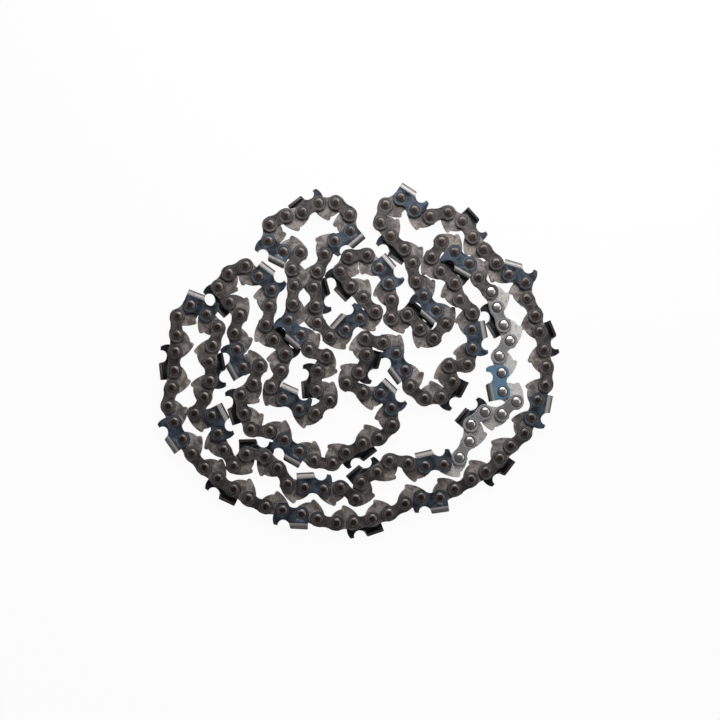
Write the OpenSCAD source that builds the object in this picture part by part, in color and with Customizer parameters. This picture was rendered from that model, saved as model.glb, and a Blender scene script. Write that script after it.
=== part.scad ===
// Saw chain loop: full-complement chain folded into a meander and lying flat on its rivet heads.
// Each link's own frame has +X the way the chain runs, +Y away from the guide bar and z = 0 in mid-chain.

/* [Chain] */
// Half the length of two links in a row, which is how saw chain is sold
pitch = 9.525; // [9.3:0.005:9.8]
// Distance between the two rivets of a tie strap or a cutter
strap_gap = 10; // [9.8:0.05:10.2]
// Thickness of a tie strap and of a cutter's plate
plate_t = 1.5; // [1.2:0.05:1.8]
// Radius of the round ends of the outer plates
plate_end_r = 4.1; // [3.8:0.05:4.2]
// Half height of an outer plate at its waist, on the side away from the bar
waist_out = 3.4; // [3:0.05:3.8]
// Half height of an outer plate at its waist, on the bar side
waist_in = 2.4; // [2.1:0.05:3.4]
// Radius of the shallow waist scallop away from the bar
scallop_out_r = 8; // [6:0.5:12]
// Radius of the deep waist scallop on the bar side
scallop_in_r = 4.5; // [3.5:0.25:6]

/* [Drive link] */
// Thickness of a drive link, which is the chain's gauge
gauge = 1.5; // [1.3:0.05:1.6]
// Radius of a drive link's round ends
drive_end_r = 4.1; // [3.8:0.05:4.2]
// Half height of a drive link between its rivets, away from the bar
saddle = 3.3; // [2.9:0.05:3.8]
// Distance from the rivet line to the tip of the tang
tang_depth = 9.2; // [9:0.1:9.4]
// Depth at which the tang's hook starts
hook_depth = 7.4; // [7.2:0.1:8.2]
// Width of the tang's nose below the hook
nose_w = 1.6; // [1.2:0.1:2]
// Radius of the tang's long rear flank
rear_flank_r = 16; // [13:0.5:22]
// Radius of the tang's front flank
front_flank_r = 9.75; // [8:0.25:12]

/* [Cutter] */
// Height of the cutting edge over the rivet line
cut_height = 8.8; // [8.5:0.05:9.6]
// Distance from the cutting corner back to the heel of the top plate
top_plate_l = 10.1; // [8.5:0.1:10.6]
// Distance from the front rivet back to the cutting corner
lead_back = 4.9; // [4.5:0.1:5.4]
// Slope of the top plate down towards its heel, in degrees
relief_angle = 8.6; // [5:0.2:10]
// Outer radius of the bend from the side plate into the top plate
bend_r = 2.4; // [2:0.1:2.6]
// Width of the top plate across the chain
top_plate_w = 3; // [2.8:0.05:3.1]
// Radius of the punched gullet
gullet_r = 2.9; // [2.5:0.05:3]
// Distance from the cutting corner forward to the punched gullet's edge
gullet_lead = 0.1; // [0:0.05:0.3]
// Radius of the round file that makes the cutting edge
file_r = 2.75; // [2.3:0.05:2.9]
// Angle of the cutting edge across the chain, in degrees
file_angle = 30; // [20:1:35]
// Height of the gullet's centre over the rivet line
gullet_height = 7.6; // [7.3:0.05:7.9]
// Drop from the cutting edge to the tip of the depth gauge
gauge_drop = 0.65; // [0.4:0.05:1]
// Distance that the depth gauge reaches ahead of the front rivet
gauge_reach = 4.25; // [4:0.05:4.3]
// Radius of the depth gauge's rounded front
gauge_nose_r = 7; // [6:0.25:9]

/* [Rivet] */
// Radius of the rivet's middle, which is the bearing in the drive link
bearing_r = 2.75; // [2.5:0.05:2.9]
// Radius of the rivet's hubs in the outer plates
hub_r = 2.1; // [1.8:0.05:2.3]
// Radius of a peened head
head_r = 2.65; // [2.45:0.05:2.9]
// Height of a head over the plate
head_h = 0.65; // [0.5:0.05:0.8]
// Width of a head's rounded rim
head_rim = 0.4; // [0.2:0.05:0.6]
// Radius of the dimple in a head
dimple_r = 1.1; // [0.8:0.05:1.4]
// Depth of the dimple in a head
dimple_d = 0.25; // [0.15:0.05:0.4]

/* [Fits] */
// Radial clearance of the rivet's bearing in a drive link
running_fit = 0.05; // [0.02:0.01:0.09]
// Radial clearance of a hub in an outer plate before it is peened
hub_fit = 0.02; // [0.01:0.01:0.05]
// Gap between a drive link and each outer plate
side_gap = 0.08; // [0.06:0.01:0.1]

/* [Lay of the loop] */
// Height that a strand rises to where its tangs lie over its neighbour's
rise = 1.6; // [1.55:0.05:1.8]

/* [Hidden] */
$fn = 48;
// Pixels of the photograph that two links in a row span, measured flat on the ground
pair_px = 36.3;
// The camera's lean from straight overhead towards the picture's lower edge and its left edge, in degrees
lean_down = 10;
lean_left = 5;

// Where each rivet's head lies in the photograph, x to the right and y down, in the order of the chain
left_side_px = [
    [205.5, 315], [189, 306], [176.5, 315], [176, 335.5], [174.5, 352.5], [174.5, 371],
    [172, 388.5], [166, 406.5], [174, 422.5], [182, 439], [191.5, 453.5], [204, 467.5]
];
bottom_px = [
    [218, 478.5], [235, 488.5], [249, 498.5], [266, 507], [283, 509], [302, 512],
    [318.5, 518], [336.5, 523.5], [354, 521.5], [374, 518], [390, 513], [406, 501.5],
    [421.5, 495.5], [440.5, 497.5], [455.5, 488], [473, 478], [486, 471.5], [501, 457.5],
    [512.5, 445]
];
right_side_px = [
    [526, 432.5], [533.5, 416.5], [540, 400], [547, 384.5], [548.5, 366.5], [547, 350],
    [543, 331.5], [539, 315.5], [530.5, 298], [528, 281], [512, 272.5], [499, 261],
    [486.5, 247.5], [476, 235], [464.5, 219.5]
];
right_lobe_px = [
    [451, 211.5], [433, 214], [415, 207], [402, 197], [387, 204.5], [384, 221.5],
    [392, 234], [404, 247], [413.5, 263.5], [418.5, 280.5], [425, 293.5], [436.5, 308.5],
    [446.5, 323.5], [435, 337.5], [421, 328], [408.5, 315]
];
middle_lobe_px = [
    [392, 316], [391.5, 298], [388.5, 283], [379, 267], [365, 257], [352.5, 258],
    [343, 270.5], [351.5, 285.5], [362.5, 296.5], [375.5, 310.5], [359.5, 318.5], [345.5, 330],
    [330.5, 337]
];
left_lobe_px = [
    [317, 323], [315.5, 306], [313.5, 286], [317.5, 270.5], [325.5, 253], [334.5, 241],
    [349, 230], [349, 213.5], [334.5, 201.5], [318, 202.5], [302.5, 210.5], [285, 215],
    [269, 224.5], [267, 240], [282, 252], [300, 253.5], [292, 270], [293.5, 286],
    [292.5, 304.5]
];
left_middle_px = [
    [289, 320], [300.5, 335], [309, 350], [326, 356], [317.5, 371.5], [316, 391],
    [330.5, 401.5], [315, 413.5], [299, 409], [284, 399.5], [271, 387], [281, 371],
    [285, 355], [273, 340], [265.5, 325], [268.5, 306], [269, 289.5], [257, 276.5]
];
left_inner_px = [
    [246, 268], [227.5, 274], [217.5, 286.5], [228.5, 303], [239, 315], [233.5, 334],
    [236, 350.5], [244, 368], [258.5, 366.5], [252.5, 385], [241.5, 394.5], [244.5, 414.5]
];
inner_bottom_px = [
    [253, 429], [268, 431], [284, 439.5], [299, 451], [314, 460.5], [333, 463.5],
    [346, 452.5], [363, 443], [379, 438.5], [393.5, 425], [392.5, 408.5], [380.5, 392.5],
    [364, 393], [346, 383]
];
right_middle_px = [
    [359, 372.5], [367, 355.5], [364.5, 338], [382.5, 341], [398.5, 354.5], [406, 370.5],
    [411, 387.5], [426, 398.5], [441.5, 397], [453.5, 382.5], [451.5, 365], [468, 363.5],
    [473.5, 348.5], [473.5, 329], [473.5, 314], [461.5, 298.5], [456, 283], [443, 271]
];
right_inner_px = [
    [433.5, 256.5], [442, 240], [457, 252], [471.5, 263], [480, 276.5], [493.5, 291.5],
    [499, 307.5], [506, 325.5], [511.5, 341], [501, 356.5], [503, 373], [504, 391.5],
    [517.5, 401.5], [502.5, 414], [486.5, 412], [471.5, 424.5]
];
lower_inner_px = [
    [470, 441.5], [459.5, 457.5], [444.5, 464], [425.5, 465.5], [409, 463], [390, 460],
    [377.5, 472], [361, 482], [356, 498.5], [341.5, 486.5], [324, 489], [305, 487],
    [287, 484.5], [277.5, 466.5], [265.5, 456.5], [246.5, 454], [235, 467], [223.5, 450.5],
    [218, 433.5], [211, 415], [194.5, 415], [205, 396], [209.5, 382], [208.5, 363.5],
    [212, 346], [217, 327.5]
];
route_px = concat(
    left_side_px, bottom_px, right_side_px, right_lobe_px, middle_lobe_px, left_lobe_px,
    left_middle_px, left_inner_px, inner_bottom_px, right_middle_px, right_inner_px, lower_inner_px
);
rivet_count = len(route_px);
pair_count = rivet_count / 2;

// Every fourth pair of outer plates has a right-hand cutter on top, and midway a left-hand one below.
// Where the loop is joined the order skips a link, so that two plain pairs follow each other.
cutter_step = 4;
join_pair = 44;
right_pairs = concat([for (s = [0:cutter_step:join_pair]) s],
    [for (s = [join_pair + 3:cutter_step:pair_count - 1]) s]);
left_pairs = concat([for (s = [2:cutter_step:join_pair]) s],
    [for (s = [join_pair + 5:cutter_step:pair_count - 1]) s]);

// The gaps between rivets alternate: an outer pair after each even rivet, a drive link after each odd one
drive_gap = 2 * pitch - strap_gap;
function gap_after(i) = i % 2 == 0 ? strap_gap : drive_gap;

// Half of what the link from a to b is too long, as a vector along it
function slip(a, b, gap) = (b - a) * (1 - gap / norm(b - a)) / 2;

// One pass round the loop that pulls or pushes each link's two rivets to its own gap.
// The list comes back in reverse order, so that the next pass runs the other way.
function settle_once(p) = let(
        last = len(p) - 1,
        moved = [
            for (i = 0, c = p[0], f = slip(c, p[1], gap_after(0)); i <= last;
                i = i + 1, c = i > last ? c : p[i] - f, f = i < last ? slip(c, p[i + 1], gap_after(i)) : 0 * c) c + f
        ],
        closing = slip(moved[last], moved[0], gap_after(last))
    )
    [for (i = [last:-1:0]) i == 0 ? moved[0] - closing : i == last ? moved[last] + closing : moved[i]];
function settle(p, passes) = passes == 0 ? p : settle(settle_once(p), passes - 1);

// An even number of passes, after which every link's length is true to about a thousandth of a millimetre
settle_passes = 120;
px = 2 * pitch / pair_px;
read_places = [for (q = route_px) [q[0] / cos(lean_left), -q[1] / cos(lean_down)] * px];
links_true = settle(read_places, settle_passes);

function heading(a, b) = atan2(b[1] - a[1], b[0] - a[0]);
function turned(v, angle) = [v[0] * cos(angle) - v[1] * sin(angle), v[0] * sin(angle) + v[1] * cos(angle)];

// Places on a cutter, from its rear rivet: the cutting corner and the heel at the top plate's two ends
lead_corner = [strap_gap - lead_back, cut_height];
heel_corner = lead_corner - top_plate_l * [1, tan(relief_angle)];

// The depth gauge's height, the centre of its rounded front, and the tip where that meets its top
gauge_height = cut_height - gauge_drop;
nose_height_share = 0.5;
nose_centre = [strap_gap + gauge_reach - gauge_nose_r, nose_height_share * gauge_height];
gauge_tip = [nose_centre[0] + sqrt(pow(gauge_nose_r, 2) - pow(gauge_height - nose_centre[1], 2)), gauge_height];

// The origin is in the middle of the loop's outline, which its round ends and cutters' corners set
function on_pair(s, place) = links_true[2 * s + 1]
    + turned(place, heading(links_true[2 * s + 1], links_true[2 * s]));
end_r = max(plate_end_r, drive_end_r);
outline_points = concat(
    [for (p = links_true) each [p + [end_r, end_r], p - [end_r, end_r]]],
    [for (s = concat(right_pairs, left_pairs)) each
        [on_pair(s, lead_corner), on_pair(s, heel_corner), on_pair(s, gauge_tip),
            on_pair(s, nose_centre + [gauge_nose_r, 0])]]
);
outline_x = [for (p = outline_points) p[0]];
outline_y = [for (p = outline_points) p[1]];
middle = [min(outline_x) + max(outline_x), min(outline_y) + max(outline_y)] / 2;
rivet_at = [for (p = links_true) p - middle];

// Shares of the rise at some rivets, with an even slope from each row to the next
rise_shares = [
    [0, 0], [78, 0], [90, 1], [95, 1], [111, 0],
    [131, 0], [151, 1], [165, 1], [183, 0], [198, 0]
];
function rise_at(i) = rise * lookup(i, rise_shares);

// Heights over the middle of the chain: an outer plate's inner and outer faces, and the top of a head
plate_z = gauge / 2 + side_gap;
face_z = plate_z + plate_t;
head_z = face_z + head_h;
// Cuts and laps run past each other by this
lap = plate_t / 2;

function numbered(name, k) = str(name, k < 10 ? "0" : "", k);

// Moves a link from its own frame, which has its rear rivet at the origin, to its place in the loop
module between(rear, front) {
    climb = rise_at(front) - rise_at(rear);
    run = norm(rivet_at[front] - rivet_at[rear]);
    translate(concat(rivet_at[rear], head_z + rise_at(rear)))
        rotate([0, -atan2(climb, run), heading(rivet_at[rear], rivet_at[front])])
            children();
}
module on_outer_pair(s) between(2 * s + 1, 2 * s) children();
module on_drive(d) between((2 * d + 2) % rivet_count, 2 * d + 1) children();

// A slab with round ends over both rivets
module round_ended(gap, r) {
    circle(r);
    translate([gap, 0]) circle(r);
    translate([0, -r]) square([gap, 2 * r]);
}

// The disc that leaves a waist of the given half height between the rivets, on the side that is 1 or -1
module scallop(gap, side, waist, r) translate([gap / 2, side * (waist + r)]) circle(r);

module rivet_holes(gap, r) {
    circle(r);
    translate([gap, 0]) circle(r);
}

// Centre of the arc of radius r that runs from a to b with its centre on the left
function arc_centre(a, b, r) = let(d = b - a, half = norm(d) / 2)
    (a + b) / 2 + [-d[1], d[0]] / (2 * half) * sqrt(pow(r, 2) - pow(half, 2));

// Points of the tang: where its flanks leave the round ends, its tip and its hook
tang_root_angle = 32;
tip_share = 0.48;
rear_root = drive_end_r * [-cos(tang_root_angle), -sin(tang_root_angle)];
front_root = [drive_gap, 0] + drive_end_r * [cos(tang_root_angle), -sin(tang_root_angle)];
tang_tip = [tip_share * drive_gap, -tang_depth];
hook = [tang_tip[0] + nose_w, -hook_depth];

module tang_nose() {
    nose_top = -hook_depth + nose_w / 2;
    polygon([
        [tang_tip[0] - nose_w, nose_top],
        [hook[0], nose_top],
        [hook[0], (hook[1] - tang_depth) / 2],
        [tang_tip[0] + nose_w / 2, -tang_depth],
        tang_tip
    ]);
}

module tang() {
    intersection() {
        translate(arc_centre(rear_root, tang_tip, rear_flank_r)) circle(rear_flank_r);
        union() {
            intersection() {
                translate(arc_centre(hook, front_root, front_flank_r)) circle(front_flank_r);
                translate([rear_root[0], -hook_depth]) square([front_root[0] - rear_root[0], hook_depth]);
            }
            tang_nose();
        }
    }
}

module drive_link() {
    color("#6e665f")
        linear_extrude(gauge, center = true)
            difference() {
                union() {
                    difference() {
                        round_ended(drive_gap, drive_end_r);
                        scallop(drive_gap, 1, saddle, scallop_out_r);
                    }
                    tang();
                }
                rivet_holes(drive_gap, bearing_r + running_fit);
            }
}

module drive_links() for (d = [0:pair_count - 1]) on_drive(d) drive_link();

module tie_strap() {
    color("#443f3d")
        translate([0, 0, plate_z])
            linear_extrude(plate_t)
                difference() {
                    round_ended(strap_gap, plate_end_r);
                    scallop(strap_gap, 1, waist_out, scallop_out_r);
                    scallop(strap_gap, -1, waist_in, scallop_in_r);
                    rivet_holes(strap_gap, hub_r + hub_fit);
                }
}

function has(list, value) = len([for (v = list) if (v == value) v]) > 0;
module tie_straps_upper()
    for (s = [0:pair_count - 1])
        if (!has(right_pairs, s)) on_outer_pair(s) tie_strap();
module tie_straps_lower()
    for (s = [0:pair_count - 1])
        if (!has(left_pairs, s)) on_outer_pair(s) mirror([0, 0, 1]) tie_strap();

// Directions along the top plate's slope, and square to it away from the chain
slope = [cos(relief_angle), sin(relief_angle)];
away = [-slope[1], slope[0]];
// The gullet's centre, and the end of the sheet that is folded into the top plate, inside the gullet
gullet_centre = [lead_corner[0] + gullet_lead + gullet_r, gullet_height];
sheet_end = lead_corner + (gullet_lead + lap) * slope;
sheet_l = norm(sheet_end - heel_corner);

// The depth gauge: a horn with a rounded front, whose back the gullet cuts
module depth_gauge() {
    back = (sheet_end - (bend_r + lap) * away)[0];
    intersection() {
        translate([back, 0]) square([nose_centre[0] + gauge_nose_r - back, gauge_height]);
        translate(nose_centre) circle(gauge_nose_r);
    }
}

// What a cutter's plate has below its top plate's bend, in the link's own frame
module around_rivets() {
    difference() {
        round_ended(strap_gap, plate_end_r);
        scallop(strap_gap, -1, waist_in, scallop_in_r);
    }
    depth_gauge();
}

// The plate's whole outline, seen from the heel along the slope, up to where the bend starts
module side_plate() {
    foot = heel_corner[1] / slope[0];
    difference() {
        union() {
            rotate(-relief_angle) translate(-heel_corner) around_rivets();
            translate([0, -foot]) square([sheet_l, foot - bend_r]);
        }
        rotate(-relief_angle)
            translate(-heel_corner) {
                translate(gullet_centre) circle(gullet_r);
                rivet_holes(strap_gap, hub_r + hub_fit);
            }
    }
}

// Section through the bend and the top plate, with the cutter's height along X and its width along Y
module top_plate_section() {
    translate([-bend_r, face_z - bend_r])
        intersection() {
            difference() {
                circle(bend_r);
                circle(bend_r - plate_t);
            }
            square(2 * bend_r);
        }
    translate([-plate_t, face_z - top_plate_w]) square([plate_t, top_plate_w - bend_r]);
}

// The round file's path, which leaves the cutting corner foremost on the outside of the chain
module file_path() {
    over_centre = cut_height - gullet_height;
    reach = sqrt(pow(file_r, 2) - pow(over_centre, 2)) / cos(file_angle);
    file_l = 4 * top_plate_w;
    translate([lead_corner[0] + reach, gullet_height, face_z])
        rotate([0, file_angle, 0])
            cylinder(h = file_l, r = file_r, center = true);
}

module cutter() {
    color("#2b4253")
        difference() {
            translate(heel_corner)
                rotate([0, 0, relief_angle]) {
                    translate([0, 0, plate_z]) linear_extrude(plate_t) side_plate();
                    rotate([90, 0, 90]) linear_extrude(sheet_l) top_plate_section();
                }
            file_path();
        }
}

module cutter_right(k) on_outer_pair(right_pairs[k - 1]) cutter();
module cutter_left(k) on_outer_pair(left_pairs[k - 1]) mirror([0, 0, 1]) cutter();

// Half of a rivet's section, from its middle up to a peened head with a dimple
half_rivet = [
    [bearing_r, plate_z],
    [hub_r, plate_z],
    [hub_r, face_z],
    [head_r, face_z],
    [head_r, head_z - head_rim],
    [head_r - head_rim, head_z],
    [dimple_r, head_z],
    [dimple_r - dimple_d, head_z - dimple_d],
    [0, head_z - dimple_d]
];
// A rivet is square to the outer plates that it holds, and the drive link rides on its middle
module rivet() {
    last = len(half_rivet) - 1;
    color("#37322f")
        rotate_extrude()
            polygon(concat(half_rivet, [for (i = [last:-1:0]) [half_rivet[i][0], -half_rivet[i][1]]]));
}
module rivets()
    for (s = [0:pair_count - 1])
        on_outer_pair(s) {
            rivet();
            translate([strap_gap, 0, 0]) rivet();
        }

drive_links();
tie_straps_upper();
tie_straps_lower();
rivets();
for (k = [1:len(right_pairs)])
    cutter_right(k);
for (k = [1:len(left_pairs)])
    cutter_left(k);
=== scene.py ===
# %% [markdown]
# # A saw chain, folded up on its side
#
# The real thing is a closed loop of 99 drive links, 99 pairs of outer plates and 198 rivets, all stamped
# from hard steel. It lies on its side in a meander, as it comes out of its box. The solids of the model
# already lie where every link belongs, so this lesson gives each kind of link its finish: one well made
# link of each kind, copied to the places that the solids give.

# %% Load the fixed frame
import math

import bmesh
import bpy
import numpy as np
from mathutils import Matrix, Vector


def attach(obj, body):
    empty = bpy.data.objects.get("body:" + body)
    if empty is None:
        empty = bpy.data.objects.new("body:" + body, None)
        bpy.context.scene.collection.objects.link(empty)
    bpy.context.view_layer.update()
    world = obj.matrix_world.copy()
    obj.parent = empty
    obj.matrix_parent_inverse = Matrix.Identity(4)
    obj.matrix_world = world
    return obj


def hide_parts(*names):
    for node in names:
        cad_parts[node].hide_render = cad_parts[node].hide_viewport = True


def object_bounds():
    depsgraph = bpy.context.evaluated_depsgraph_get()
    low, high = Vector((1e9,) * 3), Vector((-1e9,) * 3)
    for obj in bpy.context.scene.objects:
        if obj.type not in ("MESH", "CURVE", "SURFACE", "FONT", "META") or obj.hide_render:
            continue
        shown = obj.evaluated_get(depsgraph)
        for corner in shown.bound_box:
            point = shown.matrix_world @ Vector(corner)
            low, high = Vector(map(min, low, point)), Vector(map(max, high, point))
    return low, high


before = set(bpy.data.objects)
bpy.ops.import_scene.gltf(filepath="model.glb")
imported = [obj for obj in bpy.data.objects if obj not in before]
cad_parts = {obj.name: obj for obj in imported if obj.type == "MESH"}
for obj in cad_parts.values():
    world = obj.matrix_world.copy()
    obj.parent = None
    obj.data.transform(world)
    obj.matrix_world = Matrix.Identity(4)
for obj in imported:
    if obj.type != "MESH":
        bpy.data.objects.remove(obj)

cad_low, cad_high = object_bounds()
print("solids:", len(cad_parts), "nodes, box", [round(v, 4) for v in (*cad_low, *cad_high)])

# %% [markdown]
# ## The camera
#
# The photograph looks almost straight down, leaning a few degrees to the lower left. The camera could be
# placed by eye, but the 198 rivets are known in the picture and in the model, so its place was worked out
# from them: a spot to look at, two angles, a distance and a focal length.

# %% Stand the camera where the photographer stood
MM = 0.001
look_at = Vector((-0.13, -1.01, 3.0)) * MM
camera_azimuth = math.radians(-107.6)
camera_height_angle = math.radians(83.86)
camera_distance = 700 * MM
picture_width_px = 720
focal_px = 1314.5
sensor_width = 36.0

backward = Vector((
    math.cos(camera_height_angle) * math.cos(camera_azimuth),
    math.cos(camera_height_angle) * math.sin(camera_azimuth),
    math.sin(camera_height_angle),
))
rightward = Vector((0, 1, 0)).cross(backward).normalized()
upward = backward.cross(rightward)
camera_data = bpy.data.cameras.new("photographer")
camera_data.sensor_width = sensor_width
camera_data.lens = focal_px / picture_width_px * sensor_width
camera = bpy.data.objects.new("photographer", camera_data)
camera.matrix_world = Matrix.Translation(look_at + backward * camera_distance) @ Matrix(
    (rightward, upward, backward)
).transposed().to_4x4()
bpy.context.scene.collection.objects.link(camera)
bpy.context.scene.camera = camera
print("camera lens", round(camera_data.lens, 1), "mm")

# %% [markdown]
# ## Finding the links
#
# A chain has a simple rule: every link holds two rivets. The model's solids are read back as loose parts.
# A rivet's middle is the middle of its part, and a plate's two rivets are those whose distance from the
# plate's corner points is the radius of its holes.

# %% Split a node into its loose parts
weld = 0.002 * MM


def loose_parts(node):
    """The corner points of each separate solid of a CAD node."""
    shape = bmesh.new()
    shape.from_mesh(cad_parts[node].data)
    bmesh.ops.remove_doubles(shape, verts=shape.verts, dist=weld)
    parts, seen = [], set()
    for first in shape.verts:
        if first in seen:
            continue
        seen.add(first)
        waiting, part = [first], []
        while waiting:
            corner = waiting.pop()
            part.append(tuple(corner.co))
            for edge in corner.link_edges:
                other = edge.other_vert(corner)
                if other not in seen:
                    seen.add(other)
                    waiting.append(other)
        parts.append(np.array(part))
    shape.free()
    return parts


rivet_parts = loose_parts("rivets")
rivet_at = np.array([(part.min(axis=0) + part.max(axis=0)) / 2 for part in rivet_parts])
print("rivets:", len(rivet_at))

# %% [markdown]
# A drive link carries a tang on the guide bar's side, so its tang tells which way it runs. The outer
# plates have no such mark from above, but each of their rivets is shared with a drive link, and the front
# rivet of an outer pair is always the rear rivet of the drive link ahead.

# %% Name the front and the rear rivet of every link
drive_hole_r = 2.8 * MM
plate_hole_r = 2.12 * MM
rim_slack = 0.03 * MM
overhead = np.array((0.0, 0.0, 1.0))


def rivets_in(part, hole_r):
    """The two rivets that stand in a plate's holes."""
    reach = np.linalg.norm(part[:, None, :2] - rivet_at[None, :, :2], axis=2)
    on_rim = (np.abs(reach - hole_r) < rim_slack).sum(axis=0)
    return np.argsort(on_rim)[-2:]


drive_links, front_of_drive, rear_of_drive = [], set(), set()
for part in loose_parts("drive_links"):
    a, b = rivets_in(part, drive_hole_r)
    bulk = part.mean(axis=0) - (rivet_at[a] + rivet_at[b]) / 2
    ahead = np.cross(-bulk, overhead)
    if np.dot(rivet_at[b] - rivet_at[a], ahead) < 0:
        a, b = b, a
    drive_links.append((a, b))
    rear_of_drive.add(a)
    front_of_drive.add(b)
print("drive links:", len(drive_links), "shared rivets:", len(rear_of_drive), len(front_of_drive))


def outer_plates(*nodes):
    """The rear and the front rivet of each strap or cutter in these nodes."""
    found = []
    for node in nodes:
        for part in loose_parts(node):
            a, b = rivets_in(part, plate_hole_r)
            found.append((a, b) if a in front_of_drive else (b, a))
    return found


names = sorted(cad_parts)
right_nodes = [n for n in names if n.startswith("cutter_right")]
left_nodes = [n for n in names if n.startswith("cutter_left")]
upper_straps = outer_plates("tie_straps_upper")
lower_straps = outer_plates("tie_straps_lower")
right_cutters = outer_plates(*right_nodes)
left_cutters = outer_plates(*left_nodes)
print("straps:", len(upper_straps), len(lower_straps), "cutters:", len(right_cutters), len(left_cutters))

# %% [markdown]
# ## Places for the copies
#
# Geometry Nodes can put a copy on each point of a mesh and turn it by an attribute. So each kind of link
# gets a mesh of bare points, one at each rear rivet, with the turn that takes a link's own frame to its
# place: X runs to the front rivet, Y points away from the guide bar.

# %% Turn a pair of rivets into a place
def turn_between(rear, front):
    """How a link's frame is turned when its rear and front rivets stand there."""
    along = Vector(front - rear).normalized()
    across = Vector(overhead).cross(along).normalized()
    return Matrix((along, across, along.cross(across))).transposed().to_quaternion()


# The links on this strand get a painted highlight in their finishes, standing in for the light it catches.
bright_strand = np.array([
    (70, 35), (76, 18), (80, 9), (74, 1), (75, -18), (83, -23), (75, -30), (66, -29), (59, -35), (52, -53),
]) * MM
bright_reach = 4.6 * MM


def brightness_at(point):
    """1 on the strand that catches the light in the photograph, 0 elsewhere."""
    starts, ends = bright_strand[:-1], bright_strand[1:]
    runs = ends - starts
    share = np.clip(((point[:2] - starts) * runs).sum(axis=1) / (runs ** 2).sum(axis=1), 0, 1)
    off = np.linalg.norm(starts + runs * share[:, None] - point[:2], axis=1).min()
    return float(off < bright_reach)


def places(name, spots):
    """A mesh of points, each with its link's turn and the brightness at the link's middle."""
    mesh = bpy.data.meshes.new(name)
    mesh.from_pydata([tuple(spot) for spot, middle, turn in spots], [], [])
    mesh.attributes.new("turn", "QUATERNION", "POINT")
    mesh.attributes.new("bright", "FLOAT", "POINT")
    turns, bright = mesh.attributes["turn"].data, mesh.attributes["bright"].data
    for i, (spot, middle, turn) in enumerate(spots):
        turns[i].value = turn
        bright[i].value = brightness_at(middle)
    thing = bpy.data.objects.new(name, mesh)
    bpy.context.scene.collection.objects.link(thing)
    print(name, len(spots), "places")
    return thing


def link_places(name, pairs):
    """One place at each link's rear rivet."""
    return places(name, [
        (rivet_at[a], (rivet_at[a] + rivet_at[b]) / 2, turn_between(rivet_at[a], rivet_at[b]))
        for a, b in pairs
    ])


# %% [markdown]
# ## Outlines of the plates
#
# A strap and a drive link are stamped from flat steel, so an outline tells their whole shape. The outlines
# are arcs: round ends over the rivets, shallow scallops between them, and the tang's two flanks. Drawing
# them as few straight runs keeps a link to a few dozen faces, which matters when there are hundreds.

# %% Arcs, and the strap's outline
strap_gap = 10.0 * MM
drive_gap = 9.05 * MM
end_r = 4.1 * MM
waist_out, scallop_out_r = 3.4 * MM, 8.0 * MM
waist_in, scallop_in_r = 2.4 * MM, 4.5 * MM


def arc(centre, radius, start, stop, steps):
    """Points along an arc, with its angles in degrees."""
    return [
        (centre[0] + radius * math.cos(math.radians(a)), centre[1] + radius * math.sin(math.radians(a)))
        for a in np.linspace(start, stop, steps + 1)
    ]


def scallop(gap, side, waist, radius, steps):
    """The dip between the rivets, from right to left above them or from left to right below."""
    half = math.degrees(math.acos((waist + radius - end_r) / radius))
    centre = (gap / 2, side * (waist + radius))
    return arc(centre, radius, -side * 90 + half, -side * 90 - half, steps)


strap_outline = (
    arc((0, 0), end_r, 90, 270, 9)
    + scallop(strap_gap, -1, waist_in, scallop_in_r, 6)
    + arc((strap_gap, 0), end_r, -90, 90, 9)
    + scallop(strap_gap, 1, waist_out, scallop_out_r, 4)
)
print("strap outline:", len(strap_outline), "points")

# %% The drive link's outline, with its tang
saddle = 3.3 * MM
tang_root = 32.0
tang_depth, hook_depth, nose_w = 9.2 * MM, 7.4 * MM, 1.6 * MM
rear_flank_r, front_flank_r = 16.0 * MM, 9.75 * MM
tang_tip = (0.48 * drive_gap, -tang_depth)
hook_x = tang_tip[0] + nose_w


def arc_between(a, b, radius, steps):
    """Points after a, up to b, on the arc whose centre lies on the left of the way there."""
    a, b = np.array(a), np.array(b)
    half = np.linalg.norm(b - a) / 2
    left = np.array((-(b - a)[1], (b - a)[0])) / (2 * half)
    centre = (a + b) / 2 + left * math.sqrt(radius ** 2 - half ** 2)
    first, last = (math.degrees(math.atan2(*(p - centre)[::-1])) for p in (a, b))
    return arc(centre, radius, first, last if last > first else last + 360, steps)[1:]


rear_end = arc((0, 0), end_r, 90, 180 + tang_root, 7)
front_end = arc((drive_gap, 0), end_r, -tang_root, 90, 7)
drive_outline = (
    rear_end
    + arc_between(rear_end[-1], tang_tip, rear_flank_r, 4)
    + [
        (tang_tip[0] + nose_w / 2, -tang_depth),
        (hook_x, -(hook_depth + tang_depth) / 2),
        (hook_x, -hook_depth),
    ]
    + arc_between((hook_x, -hook_depth), front_end[0], front_flank_r, 4)[:-1]
    + front_end
    + scallop(drive_gap, 1, saddle, scallop_out_r, 4)
)
print("drive link outline:", len(drive_outline), "points")

# %% [markdown]
# ## One link of each kind
#
# A stamped plate has a small rounded break along its edges, and that thin line is what catches the light.
# The outline is filled, pulled up to the plate's thickness, and the edges that can be seen are bevelled.
# Each corner also remembers where it lies on its own link. The finishes use that for the worn rings
# around the rivets, wherever the link ends up.

# %% Build a plate from its outline
gauge, plate_t, side_gap = 1.5 * MM, 1.5 * MM, 0.08 * MM
plate_z = gauge / 2 + side_gap
face_z = plate_z + plate_t
edge_break = 0.14 * MM


def remember_place(thing):
    """Keeps each corner's place on its own link, in millimetres, as the attribute on_link."""
    on_link = thing.data.attributes.new("on_link", "FLOAT_VECTOR", "POINT")
    for corner, place in zip(thing.data.vertices, on_link.data):
        place.vector = corner.co / MM
    return thing


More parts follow.
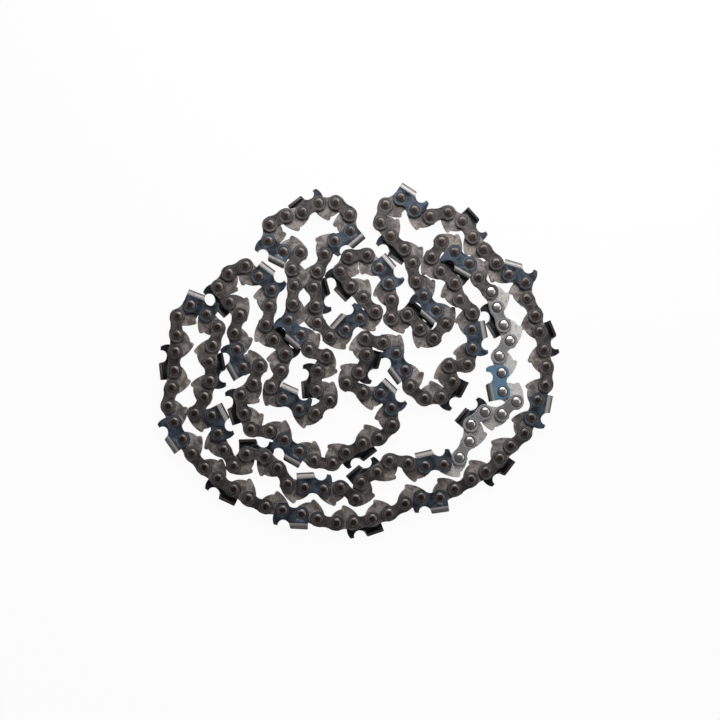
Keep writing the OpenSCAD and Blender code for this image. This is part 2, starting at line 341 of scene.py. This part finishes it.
def as_link(name, shape):
    """Makes an object of a finished shape, which stays out of the picture as the pattern for its copies."""
    bmesh.ops.recalc_face_normals(shape, faces=shape.faces)
    mesh = bpy.data.meshes.new(name)
    shape.to_mesh(mesh)
    shape.free()
    thing = bpy.data.objects.new(name, mesh)
    print(name, len(mesh.polygons), "faces")
    return remember_place(thing)


def with_marks(shape):
    """Lets each face say if it is a worn edge with a painted highlight, and which side of a folded sheet it
    is.
    """
    for mark in ("worn_edge_and_highlight", "outside"):
        shape.faces.layers.float.new(mark)
    return shape


def break_edges(shape, edges):
    """Bevels the edges and marks the new faces, which are painted lighter, partly as wear and partly as a
    painted highlight.
    """
    bevelled = bmesh.ops.bevel(
        shape, geom=edges, offset=edge_break, segments=1, affect="EDGES", clamp_overlap=True)
    for face in bevelled["faces"]:
        face[shape.faces.layers.float["worn_edge_and_highlight"]] = 1.0
        face[shape.faces.layers.float["outside"]] = 0.0


def stamped(name, outline, bottom, top, broken):
    """A flat plate whose edges are broken at the given heights."""
    shape = with_marks(bmesh.new())
    shape.faces.new([shape.verts.new((x, y, bottom)) for x, y in outline])
    pulled = bmesh.ops.extrude_face_region(shape, geom=list(shape.faces))
    moved = [g for g in pulled["geom"] if isinstance(g, bmesh.types.BMVert)]
    bmesh.ops.translate(shape, verts=moved, vec=(0, 0, top - bottom))
    rims = [
        e for e in shape.edges
        if any(all(abs(v.co.z - z) < weld for v in e.verts) for z in broken)
    ]
    break_edges(shape, rims)
    return as_link(name, shape)


drive_pattern = stamped("drive_pattern", drive_outline, -gauge / 2, gauge / 2, (-gauge / 2, gauge / 2))
upper_pattern = stamped("upper_strap_pattern", strap_outline, plate_z, face_z, (face_z,))
lower_pattern = stamped("lower_strap_pattern", strap_outline, -face_z, -plate_z, (-face_z,))

# %% [markdown]
# A rivet's ends are spun over into low domes with a shallow dimple. A lathe would turn such a shape, and
# so does this cell: it turns half a section about the rivet's axis. The ends of the section lie on the
# axis, and there the faces close in a fan. The section is written in shares of a head's radius and height.

# %% Turn the rivet
head_r, head_h, hub_r = 2.65 * MM, 0.65 * MM, 2.1 * MM
head_z = face_z + head_h
rivet_sides = 12
head_shares = [(0, 0.9), (0.45, 1.0), (0.84, 0.64), (1.0, 0.0)]
half_section = [(head_r * across, face_z + head_h * up) for across, up in head_shares] + [(hub_r, face_z)]
section = half_section + [(r, -z) for r, z in reversed(half_section)]


def turned(name, section, sides):
    """Turns a section about the Z axis, closing it with fans where it meets the axis."""
    shape = bmesh.new()
    angles = np.arange(sides) * 2 * math.pi / sides
    rings = [
        [shape.verts.new((r * math.cos(a), r * math.sin(a), z)) for a in angles]
        if r else [shape.verts.new((0, 0, z))]
        for r, z in section
    ]
    for ring, following in zip(rings, rings[1:]):
        for i in range(sides):
            j = (i + 1) % sides
            corners = {ring[i % len(ring)]: 0, ring[j % len(ring)]: 0,
                       following[j % len(following)]: 0, following[i % len(following)]: 0}
            shape.faces.new(list(corners))
    return as_link(name, shape)


rivet_pattern = turned("rivet_pattern", section, rivet_sides)

# %% [markdown]
# A cutter is harder: its side plate folds over into the top plate along a sloping line, and a round file
# has cut its face. The solid already has exactly that shape, so the pattern is a copy of it, turned back
# to the link's own frame, with its flat faces joined up and its edges broken. The left-hand cutter is its
# mirror image, and a mirrored shape needs its faces turned outwards again.

# %% Take the cutter's shape from its solid
flat_within = math.radians(1.5)
sharp_above = math.radians(35)
relief = math.radians(8.6)
fold_y = 5.2 * MM
brim_z = -0.3 * MM
brim_facing, sheet_facing = 0.7, 0.3


def sides_of_sheet(shape, side):
    """Marks each face by where it looks out of the folded sheet: 1 outside, -1 inside, 0 on the cuts."""
    bmesh.ops.recalc_face_normals(shape, faces=shape.faces)
    outside = shape.faces.layers.float["outside"]
    for face in shape.faces:
        out = face.normal.z * side
        over = face.normal.y * math.cos(relief) - face.normal.x * math.sin(relief)
        middle = face.calc_center_median()
        folded = middle.y > fold_y
        at_brim = folded and middle.z * side < brim_z and abs(out) > brim_facing
        if not at_brim and (abs(out) > sheet_facing or (folded and abs(over) > sheet_facing)):
            face[outside] = 1.0 if max(out, over, key=abs) > 0 else -1.0


def cutter_pattern(name, side):
    """The first right-hand cutter in the link's own frame, mirrored for side -1."""
    rear, front = (rivet_at[i] for i in right_cutters[0])
    home = (Matrix.Translation(Vector(rear)) @ turn_between(rear, front).to_matrix().to_4x4()).inverted()
    shape = bmesh.new()
    shape.from_mesh(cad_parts["cutter_right_01"].data)
    with_marks(shape)
    shape.transform(Matrix.Diagonal((1, 1, side, 1)) @ home)
    bmesh.ops.remove_doubles(shape, verts=shape.verts, dist=weld)
    bmesh.ops.dissolve_limit(shape, angle_limit=flat_within, verts=shape.verts, edges=shape.edges)
    sharp = [e for e in shape.edges if len(e.link_faces) == 2 and e.calc_face_angle(0) > sharp_above]
    sides_of_sheet(shape, side)
    break_edges(shape, sharp)
    return as_link(name, shape)


right_pattern = cutter_pattern("cutter_right_pattern", 1)
left_pattern = cutter_pattern("cutter_left_pattern", -1)

# %% [markdown]
# ## Finishes
#
# All the steel is one metal, but each kind of link has its own look. Drive links are dull taupe. Straps
# are darker and oiled. Cutters are tempered blue on their side plates, and their bends and top plates are
# plated and bright, with a painted highlight and bands of painted shade. The rivets' heads are brown in the
# middle and greyer towards their rims. Every finish mixes its colours by noise on the object, by the
# distance from the rivets, and by a shade that differs a little from link to link; on one strand a painted
# highlight is mixed in as well.

# %% Small helpers for node materials
noise_roughness = 0.55
fine_detail = 2.0
bump_strength = 0.6


def plain(hex_colour):
    """A colour written as a web colour, turned into Blender's linear numbers."""
    parts = [int(hex_colour[i:i + 2], 16) / 255 for i in (0, 2, 4)]
    return tuple(p / 12.92 if p <= 0.04045 else ((p + 0.055) / 1.055) ** 2.4 for p in parts) + (1.0,)


class Finish:
    """A node material that is put together from a few kinds of step."""

    def __init__(self, name):
        self.material = bpy.data.materials.new(name)
        self.material.use_nodes = True
        self.nodes = self.material.node_tree.nodes
        self.links = self.material.node_tree.links
        self.shader = self.nodes["Principled BSDF"]

    def join(self, source, target):
        self.links.new(source, target)

    def fill(self, socket, value):
        """Gives a socket another node's output, or else a constant of its own."""
        if isinstance(value, bpy.types.NodeSocket):
            self.join(value, socket)
        else:
            socket.default_value = value

    def give(self, socket_name, value):
        self.fill(self.shader.inputs[socket_name], value)

    def attribute(self, name):
        node = self.nodes.new("ShaderNodeAttribute")
        node.attribute_name = name
        return node

    def value_of(self, name):
        return self.attribute(name).outputs["Fac"]

    def math(self, operation, a, b):
        node = self.nodes.new("ShaderNodeMath")
        node.operation = operation
        for socket, value in zip(node.inputs, (a, b)):
            self.fill(socket, value)
        return node.outputs[0]

    def times(self, a, b):
        return self.math("MULTIPLY", a, b)

    def step(self, value, low, high, at_low=0.0, at_high=1.0):
        """Runs smoothly from one number to another as a value goes from low to high."""
        node = self.nodes.new("ShaderNodeMapRange")
        node.interpolation_type = "SMOOTHSTEP"
        for socket, number in zip(node.inputs[:5], (value, low, high, at_low, at_high)):
            self.fill(socket, number)
        return node.outputs[0]

    def noise(self, per_metre, detail=3.0):
        node = self.nodes.new("ShaderNodeTexNoise")
        node.inputs["Scale"].default_value = per_metre
        node.inputs["Detail"].default_value = detail
        node.inputs["Roughness"].default_value = noise_roughness
        place = self.nodes.new("ShaderNodeTexCoord")
        self.join(place.outputs["Object"], node.inputs["Vector"])
        return node.outputs[0]

    def mix(self, share, a, b):
        node = self.nodes.new("ShaderNodeMix")
        node.data_type = "RGBA"
        self.fill(node.inputs["Factor"], share)
        self.fill(node.inputs["A"], a)
        self.fill(node.inputs["B"], b)
        return node.outputs["Result"]

    def from_centre(self, centre):
        """Distance in millimetres from an axis that stands on the link."""
        node = self.nodes.new("ShaderNodeVectorMath")
        node.operation = "MULTIPLY"
        node.inputs[1].default_value = (1, 1, 0)
        self.join(self.attribute("on_link").outputs["Vector"], node.inputs[0])
        reach = self.nodes.new("ShaderNodeVectorMath")
        reach.operation = "DISTANCE"
        reach.inputs[1].default_value = (centre, 0, 0)
        self.join(node.outputs[0], reach.inputs[0])
        return reach.outputs["Value"]

    def bump(self, height, depth):
        node = self.nodes.new("ShaderNodeBump")
        node.inputs["Strength"].default_value = bump_strength
        node.inputs["Distance"].default_value = depth
        self.join(height, node.inputs["Height"])
        self.join(node.outputs[0], self.shader.inputs["Normal"])

    def shaded(self, colour, spread):
        """Makes a link lighter or darker by its own shade."""
        node = self.nodes.new("ShaderNodeHueSaturation")
        self.join(colour, node.inputs["Color"])
        self.join(self.step(self.value_of("link_shade"), 0, 1, 1 - spread, 1 + spread), node.inputs["Value"])
        return node.outputs[0]


print("helpers ready")

# %% [markdown]
# ### Drive links and tie straps
#
# Both are bare stamped steel. Their faces have cloudy stains of a few millimetres, smaller dark specks and
# a fine grain. Oil lies in a dark line around each rivet's head, a ring just outside it is rubbed by the
# neighbour plate, and the broken edges are painted lighter, partly as wear and partly as a painted
# highlight. The strand that catches the light is painted much lighter as a painted highlight, and keeps
# its dark oil lines.

# %% Oil and rubbed rings around the rivets, in millimetres from a rivet's axis
oil_from, oil_to, oil_share = 2.75, 3.2, 0.7
ring_from, ring_peak, ring_to = 2.9, 3.2, 3.6


def around_rivets(finish, gap):
    """How much oil and how much rubbed ring there is, by the distance from the nearer rivet."""
    near = finish.math("MINIMUM", finish.from_centre(0), finish.from_centre(gap / MM))
    rim_oil = finish.step(near, oil_from, oil_to, oil_share, 0)
    ring = finish.times(
        finish.step(near, ring_from, ring_peak), finish.step(near, ring_peak, ring_to, 1, 0))
    return rim_oil, ring


print("ring around a rivet:", ring_from, "to", ring_to, "mm")

# %% Mix the bare steel
cloud_per_metre, cloud_low, cloud_high = 230.0, 0.38, 0.62
speck_per_metre, speck_low, speck_high = 800.0, 0.54, 0.66
grain_per_metre, pore_low, pore_high, pore_share = 2600.0, 0.4, 0.7, 0.35
steel_metallic = 0.5
plate_shade_spread = 0.18
stain_roughness = 0.14
plate_grain_depth = 0.04 * MM

# Each pair is a share on the dull strands and on the bright one.
speck_shares = (0.6, 0.4)
ring_shares = (0.14, 0.5)
edge_wear_and_highlight_shares = (0.12, 0.6)


def bare_steel(name, dark, light, oil, wear_and_highlight, highlight_share, bright_edge, gap, rough):
    finish = Finish(name)
    dark, light, oil = plain(dark), plain(light), plain(oil)
    wear_and_highlight, bright_edge = plain(wear_and_highlight), plain(bright_edge)
    clouds = finish.step(finish.noise(cloud_per_metre), cloud_low, cloud_high)
    specks = finish.step(finish.noise(speck_per_metre, fine_detail), speck_low, speck_high)
    grain = finish.noise(grain_per_metre, fine_detail)
    bright = finish.value_of("bright")
    rim_oil, ring = around_rivets(finish, gap)
    colour = finish.mix(clouds, dark, light)
    # Painted highlight: links on the bright strand are mixed towards the light colour.
    colour = finish.mix(finish.times(bright, highlight_share), colour, wear_and_highlight)
    colour = finish.mix(finish.times(specks, finish.step(bright, 0, 1, *speck_shares)), colour, oil)
    colour = finish.mix(finish.step(grain, pore_low, pore_high, 0, pore_share), colour, oil)
    colour = finish.mix(rim_oil, colour, oil)
    colour = finish.mix(finish.times(ring, finish.step(bright, 0, 1, *ring_shares)), colour, wear_and_highlight)
    # Broken edges are painted lighter, partly as wear and partly as a painted highlight.
    worn_and_highlight = finish.times(finish.value_of("worn_edge_and_highlight"), finish.step(bright, 0, 1, *edge_wear_and_highlight_shares))
    colour = finish.mix(worn_and_highlight, colour, finish.mix(bright, wear_and_highlight, bright_edge))
    finish.give("Base Color", finish.shaded(colour, plate_shade_spread))
    finish.give("Metallic", steel_metallic)
    finish.give("Roughness", finish.step(clouds, 0, 1, rough, rough + stain_roughness))
    finish.bump(grain, plate_grain_depth)
    return finish.material


drive_steel = bare_steel(
    "drive_link_steel", dark="716964", light="aaa19b", oil="332e2b", wear_and_highlight="dfdbd6",
    highlight_share=0.9, bright_edge="5b5450", gap=drive_gap, rough=0.5)
strap_steel = bare_steel(
    "tie_strap_steel", dark="423e3c", light="615b58", oil="1e1b1a", wear_and_highlight="c9c9cb",
    highlight_share=0.5, bright_edge="dcdcdd", gap=strap_gap, rough=0.42)
print("bare steel:", drive_steel.name, strap_steel.name)

# %% [markdown]
# ### Cutters
#
# The side plate keeps the blue of its temper, and on the bright strand it gets a painted highlight.
# Outside, the bend and the top plate are plated, and light is painted on them: a painted highlight by the
# fold, a painted grey shade where the bend goes down, and a painted dark shade at its end. Inside, the
# folded sheet is painted dark as shade, near black at the fold, and a lower cutter shows that from above,
# with the ground brim of its top plate as a lighter line. The height over the rivet line, square to the
# sloping top plate, decides which band shows.

# %% The cutter's measures and colours
# Heights over the rivet line and places along the link are in millimetres.
plating_from, plating_blur = 4.85, 0.1
# These heights start the painted grey shade and the painted dark shade on the bend.
painted_band_from, painted_band_run, painted_band_share = 6.1, 0.3, 0.8
painted_edge_from, painted_edge_run, painted_edge_share = 7.05, 0.35, 0.92
fold_ends_from, fold_ends_to = 6.3, 6.6
temper_low, temper_high = 0.36, 0.64
grain_low, grain_high = 0.3, 0.7
smooth_grain_depth = 0.02 * MM
small_shade_spread = 0.12

# The third blue is a painted highlight for cutters on the bright strand.
temper_dark, temper_light, highlight_blue = plain("22272e"), plain("4c5866"), plain("7ea6c6")
rim_blue, rubbed_and_highlight_blue = plain("10141a"), plain("9aabbd")
# The light chrome colour is partly the plating and partly a painted highlight by the fold; the grey and the
# dark on the next line are painted shade where the bend turns down.
chrome_and_highlight, chrome_dull = plain("bfbab6"), plain("a9a4a0")
painted_band_shade, painted_edge_shade = plain("6a6562"), plain("1f1c1b")
# The first two colours are painted shade inside the folded sheet; the third is the ground brim's own grey.
painted_shade_plate, painted_shade_fold, brim_grey = plain("0d0f12"), plain("121213"), plain("45413f")
highlight_blue_share, rubbed_share, cutter_edge_wear_and_highlight_share, painted_shade_share = 0.75, 0.22, 0.4, 0.6
chrome_smoothest, chrome_roughest = 0.4, 0.52
print("plating from", plating_from, "mm over the rivets")


# %% Mix the cutter's finish
def cutter_steel():
    finish = Finish("cutter_steel")
    place = finish.nodes.new("ShaderNodeSeparateXYZ")
    finish.join(finish.attribute("on_link").outputs["Vector"], place.inputs[0])
    x, y = place.outputs[:2]
    over = finish.math(
        "SUBTRACT", finish.times(y, math.cos(relief)), finish.times(x, math.sin(relief)))
    outside = finish.value_of("outside")
    folded = finish.times(
        finish.step(over, plating_from - plating_blur, plating_from + plating_blur),
        finish.step(x, fold_ends_from, fold_ends_to, 1, 0))
    clouds = finish.step(finish.noise(cloud_per_metre), temper_low, temper_high)
    grain = finish.noise(grain_per_metre, fine_detail)
    rim_oil, ring = around_rivets(finish, strap_gap)

    temper = finish.mix(clouds, temper_dark, temper_light)
    # Painted highlight: on the bright strand the blue side plate is mixed towards a light blue.
    blue = finish.mix(finish.times(finish.value_of("bright"), highlight_blue_share), temper, highlight_blue)
    blue = finish.mix(rim_oil, blue, rim_blue)
    blue = finish.mix(finish.times(ring, rubbed_share), blue, rubbed_and_highlight_blue)
    # Broken edges are painted lighter, partly as wear and partly as a painted highlight.
    blue = finish.mix(finish.times(finish.value_of("worn_edge_and_highlight"), cutter_edge_wear_and_highlight_share), blue, rubbed_and_highlight_blue)

    # Painted light on the plating: its light colour is partly a painted highlight by the fold, and the two
    # bands after it are painted shade.
    chrome = finish.mix(finish.step(grain, grain_low, grain_high), chrome_and_highlight, chrome_dull)
    in_painted_band = finish.step(over, painted_band_from, painted_band_from + painted_band_run, 0, painted_band_share)
    chrome = finish.mix(in_painted_band, chrome, painted_band_shade)
    in_painted_edge = finish.step(over, painted_edge_from, painted_edge_from + painted_edge_run, 0, painted_edge_share)
    chrome = finish.mix(in_painted_edge, chrome, painted_edge_shade)

    # Painted shade: faces inside the folded sheet are darkened, near black at the fold.
    inner_painted_shade = finish.mix(folded, finish.mix(painted_shade_share, temper, painted_shade_plate), painted_shade_fold)
    cut = finish.mix(folded, blue, brim_grey)
    colour = finish.mix(finish.step(outside, 0.2, 0.8), cut, finish.mix(folded, blue, chrome))
    colour = finish.mix(finish.step(outside, -0.8, -0.2, 1, 0), colour, inner_painted_shade)
    finish.give("Base Color", finish.shaded(colour, small_shade_spread))
    finish.give("Metallic", steel_metallic)
    finish.give(
        "Roughness", finish.step(grain, grain_low, grain_high, chrome_smoothest, chrome_roughest))
    finish.bump(grain, smooth_grain_depth)
    return finish.material


cutter_finish = cutter_steel()
print("cutter finish:", cutter_finish.name)

# %% [markdown]
# ### Rivets
#
# The spun head is dark brown in its dimple and greyer on the slope around it. It is a low dome, so the
# light from the far side leaves its near side dark. On the bright strand the heads get a painted highlight,
# and their colour turns dark at their rims.

# %% Mix the rivet's finish
dull_metallic, lit_strand_metallic = 0.55, 1
stain_per_metre, stain_low, stain_high = cloud_per_metre * 3, 0.4, 0.65
dimple_to, slope_from = 1.0, 1.7
rim_from, rim_to, rim_share = 2.1, 2.4, 0.9
dimple_brown, dimple_dark = plain("3f2e26"), plain("1f1a18")
slope_light, slope_dark = plain("645e5a"), plain("464140")
# The light grey is a painted highlight for the heads on the bright strand.
head_highlight, rim_dark = plain("c9c6c4"), plain("1f1b19")
head_highlight_share = 0.9
head_smoothest, head_roughest, lit_strand_smooths = 0.3, 0.42, 0.06


def rivet_steel():
    finish = Finish("rivet_steel")
    bright = finish.value_of("bright")
    grain = finish.noise(grain_per_metre, fine_detail)
    stains = finish.step(finish.noise(stain_per_metre), stain_low, stain_high)
    out = finish.from_centre(0)
    centre = finish.mix(stains, dimple_brown, dimple_dark)
    slope = finish.mix(stains, slope_light, slope_dark)
    colour = finish.mix(finish.step(out, dimple_to, slope_from), centre, slope)
    # Painted highlight: heads on the bright strand are mixed towards a light grey.
    colour = finish.mix(finish.times(bright, head_highlight_share), colour, head_highlight)
    at_rim = finish.step(out, rim_from, rim_to, 0, rim_share)
    colour = finish.mix(finish.times(bright, at_rim), colour, rim_dark)
    rough = finish.step(grain, grain_low, grain_high, head_smoothest, head_roughest)
    finish.give("Base Color", finish.shaded(colour, small_shade_spread))
    finish.give("Metallic", finish.step(bright, 0, 1, dull_metallic, lit_strand_metallic))
    finish.give("Roughness", finish.math("SUBTRACT", rough, finish.times(bright, lit_strand_smooths)))
    finish.bump(grain, smooth_grain_depth)
    return finish.material


rivet_finish = rivet_steel()
print("finishes:", [m.name for m in bpy.data.materials if m.name.endswith("steel")])

# %% [markdown]
# ## Laying the links
#
# One small node tree serves every kind. It puts the pattern on each place, turns it by the place's own
# attribute, gives each copy a shade by chance, makes the copies real, and sets the finish. The shade comes
# from a fixed seed, so that the chain looks the same each time.

# %% Build the node tree
def laying_tree():
    tree = bpy.data.node_groups.new("lay_links", "GeometryNodeTree")
    for name, kind in (
        ("Places", "NodeSocketGeometry"), ("Pattern", "NodeSocketObject"), ("Finish", "NodeSocketMaterial"),
        ("Size", "NodeSocketFloat"), ("Least shade", "NodeSocketFloat"), ("Most shade", "NodeSocketFloat"),
        ("Seed", "NodeSocketInt"),
    ):
        tree.interface.new_socket(name, in_out="INPUT", socket_type=kind)
    tree.interface.new_socket("Chain", in_out="OUTPUT", socket_type="NodeSocketGeometry")
    made = {
        kind: tree.nodes.new(kind)
        for kind in (
            "NodeGroupInput", "NodeGroupOutput", "GeometryNodeObjectInfo", "GeometryNodeInputNamedAttribute",
            "GeometryNodeInstanceOnPoints", "FunctionNodeRandomValue", "GeometryNodeStoreNamedAttribute",
            "GeometryNodeRealizeInstances", "GeometryNodeSetMaterial",
        )
    }
    given, out, pattern, turn, copies, chance, store, real, paint = made.values()
    turn.data_type = "QUATERNION"
    turn.inputs["Name"].default_value = "turn"
    store.data_type, store.domain = "FLOAT", "INSTANCE"
    store.inputs["Name"].default_value = "link_shade"
    float_out = [s for s in chance.outputs if s.type == "VALUE" and s.enabled][0]
    wires = [
        (given.outputs["Places"], copies.inputs["Points"]),
        (given.outputs["Pattern"], pattern.inputs["Object"]),
        (pattern.outputs["Geometry"], copies.inputs["Instance"]),
        ([s for s in turn.outputs if s.enabled and s.name == "Attribute"][0], copies.inputs["Rotation"]),
        (given.outputs["Size"], copies.inputs["Scale"]),
        (given.outputs["Least shade"], [s for s in chance.inputs if s.name == "Min" and s.enabled][0]),
        (given.outputs["Most shade"], [s for s in chance.inputs if s.name == "Max" and s.enabled][0]),
        (given.outputs["Seed"], chance.inputs["Seed"]),
        (copies.outputs["Instances"], store.inputs["Geometry"]),
        (float_out, [s for s in store.inputs if s.name == "Value" and s.enabled][0]),
        (store.outputs["Geometry"], real.inputs["Geometry"]),
        (real.outputs["Geometry"], paint.inputs["Geometry"]),
        (given.outputs["Finish"], paint.inputs["Material"]),
        (paint.outputs["Geometry"], out.inputs["Chain"]),
    ]
    for source, target in wires:
        tree.links.new(source, target)
    return tree


lay_links = laying_tree()
print("tree inputs:", [s.name for s in lay_links.interface.items_tree if s.in_out == "INPUT"])

# %% Lay one kind of link and make it a plain mesh
smooth_below = math.radians(35)


def laid(name, spots, pattern, finish, seed, nodes):
    """Copies a pattern to its places, makes one mesh of them, and lets it stand for the CAD nodes."""
    modifier = spots.modifiers.new("lay", "NODES")
    modifier.node_group = lay_links
    given = {
        "Pattern": pattern, "Finish": finish, "Size": 1.0, "Least shade": 0.0, "Most shade": 1.0, "Seed": seed,
    }
    for socket in lay_links.interface.items_tree:
        if socket.in_out == "INPUT" and socket.name in given:
            modifier[socket.identifier] = given[socket.name]
    bpy.context.view_layer.update()
    evaluated = spots.evaluated_get(bpy.context.evaluated_depsgraph_get())
    mesh = bpy.data.meshes.new_from_object(evaluated)
    spots.modifiers.remove(modifier)
    bpy.data.objects.remove(spots)
    mesh.name = name
    mesh.shade_smooth()
    mesh.set_sharp_from_angle(angle=smooth_below)
    piece = bpy.data.objects.new(name, mesh)
    bpy.context.scene.collection.objects.link(piece)
    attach(piece, "root")
    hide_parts(*nodes)
    triangles = sum(len(p.vertices) - 2 for p in mesh.polygons)
    shades = len(mesh.attributes["link_shade"].data)
    print(name, len(mesh.polygons), "faces,", triangles, "triangles, shades", shades)
    return piece


# %% [markdown]
# The rivets stand square to the outer plates that they hold, so a rivet takes its turn from its outer
# pair. Every outer pair has a strap or a cutter on top, so those lists give all the rivets.

# %% Lay the whole chain
rivet_turns = {}
for rear, front in upper_straps + right_cutters:
    for rivet in (rear, front):
        rivet_turns[rivet] = turn_between(rivet_at[rear], rivet_at[front])
rivet_spots = places(
    "rivet_places", [(rivet_at[i], rivet_at[i], turn) for i, turn in sorted(rivet_turns.items())])

laid("drive_links_finished", link_places("drive_places", drive_links), drive_pattern, drive_steel, 11,
     ["drive_links"])
laid("upper_straps_finished", link_places("upper_places", upper_straps), upper_pattern, strap_steel, 12,
     ["tie_straps_upper"])
laid("lower_straps_finished", link_places("lower_places", lower_straps), lower_pattern, strap_steel, 13,
     ["tie_straps_lower"])
laid("rivets_finished", rivet_spots, rivet_pattern, rivet_finish, 14, ["rivets"])
laid("right_cutters_finished", link_places("right_places", right_cutters), right_pattern, cutter_finish, 15,
     right_nodes)
laid("left_cutters_finished", link_places("left_places", left_cutters), left_pattern, cutter_finish, 16,
     left_nodes)

# %% [markdown]
# ## The ground and the light
#
# The photograph's ground is pure white, so the ground here is white card, which rises in a wide round
# sweep far behind the chain. Its own brightness shows to the camera and in reflections, and a share of it
# stays matte so that the chain still throws its soft shadow. Two soft lamps stand over it, the stronger
# one close on the far side, because the far strands are lighter and the rivets' near sides are dark.

# %% Lay the white card
card_glow_share = 0.95
card_matte, card_glow = (0.9, 0.9, 0.9, 1), (1, 1, 1, 1)
card_sides = 64
card_profile = [(0, 0), (2.2, 0), (2.7, 0.12), (2.95, 0.5), (3.0, 1.4)]
card = turned("card", [(r, cad_low.z + rise) for r, rise in card_profile], card_sides)
bpy.context.scene.collection.objects.link(card)
card.data.shade_smooth()
card_paint = bpy.data.materials.new("card_white")
card_paint.use_nodes = True
card_nodes, card_links = card_paint.node_tree.nodes, card_paint.node_tree.links
card_nodes.clear()
matte = card_nodes.new("ShaderNodeBsdfDiffuse")
matte.inputs["Color"].default_value = card_matte
glow = card_nodes.new("ShaderNodeEmission")
glow.inputs["Color"].default_value = card_glow
path = card_nodes.new("ShaderNodeLightPath")
seen = card_nodes.new("ShaderNodeMath")
seen.operation = "MAXIMUM"
share = card_nodes.new("ShaderNodeMath")
share.operation = "MULTIPLY"
share.inputs[1].default_value = card_glow_share
both = card_nodes.new("ShaderNodeMixShader")
sheet_out = card_nodes.new("ShaderNodeOutputMaterial")
card_links.new(path.outputs["Is Camera Ray"], seen.inputs[0])
card_links.new(path.outputs["Is Glossy Ray"], seen.inputs[1])
card_links.new(seen.outputs[0], share.inputs[0])
card_links.new(share.outputs[0], both.inputs[0])
card_links.new(matte.outputs[0], both.inputs[1])
card_links.new(glow.outputs[0], both.inputs[2])
card_links.new(both.outputs[0], sheet_out.inputs[0])
card.data.materials.append(card_paint)
print("card laid at z", round(cad_low.z, 5))

# %% Light it softly
room_grey = (0.1, 0.1, 0.102, 1)
key_place, key_size, key_watts = (0.08, 0.36, 0.27), 0.4, 2.5
fill_place, fill_size, fill_watts = (0.7, 0.1, 0.5), 0.5, 1.0

world = bpy.data.worlds.new("room")
world.use_nodes = True
world.node_tree.nodes["Background"].inputs["Color"].default_value = room_grey
world.node_tree.nodes["Background"].inputs["Strength"].default_value = 1.0
bpy.context.scene.world = world


def soft_lamp(name, place, size, watts):
    """A square lamp that faces the middle of the chain."""
    lamp = bpy.data.lights.new(name, "AREA")
    lamp.size = size
    lamp.energy = watts
    thing = bpy.data.objects.new(name, lamp)
    thing.location = place
    thing.rotation_euler = (-Vector(place)).to_track_quat("-Z", "Y").to_euler()
    bpy.context.scene.collection.objects.link(thing)
    print(name, watts, "W")


soft_lamp("key_lamp", key_place, key_size, key_watts)
soft_lamp("fill_lamp", fill_place, fill_size, fill_watts)

# %% [markdown]
# ## Last step
#
# The colours are shown through the Standard view transform. The finished chain must stay inside
# the box of its solids.

# %% Set the view transform
bpy.context.scene.view_settings.view_transform = "Standard"
